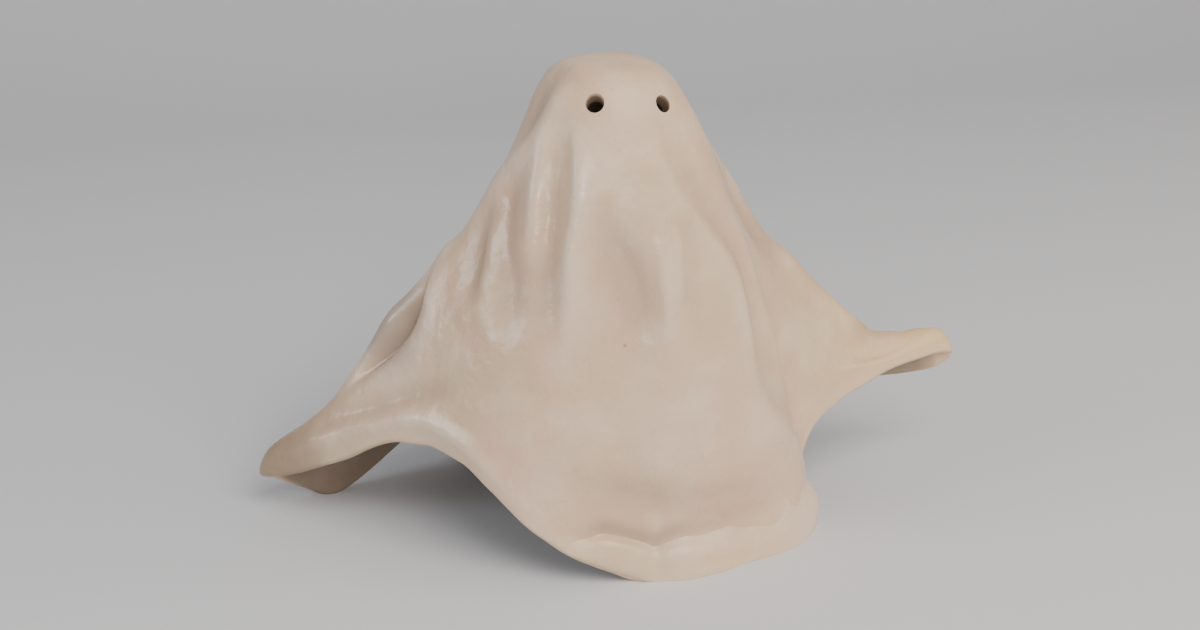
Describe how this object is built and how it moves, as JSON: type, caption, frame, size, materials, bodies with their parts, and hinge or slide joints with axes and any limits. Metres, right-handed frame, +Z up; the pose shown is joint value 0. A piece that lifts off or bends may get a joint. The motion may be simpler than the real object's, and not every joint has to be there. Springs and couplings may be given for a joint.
{
  "type": "ceramic ghost figure",
  "caption": "Hand-built glazed clay figure of a sheet ghost: domed head with two pierced round eyes, spread arms, draped hem, hollow beneath.",
  "frame": {"origin": "on the floor under the middle of the bounding box", "axes": "+Z up, face looks towards -Y, +X towards the raised arm (image right)"},
  "size_m": [0.2356, 0.1239, 0.1502],
  "materials": {
    "cream_glaze": "satin cream glaze over buff clay",
    "hem_glaze": "satin cream glaze, a little lighter along the hem"
  },
  "bodies": {
    "root": {"draped_slab": "cream_glaze", "front_hem_roll": "hem_glaze"}
  },
  "joints": []
}
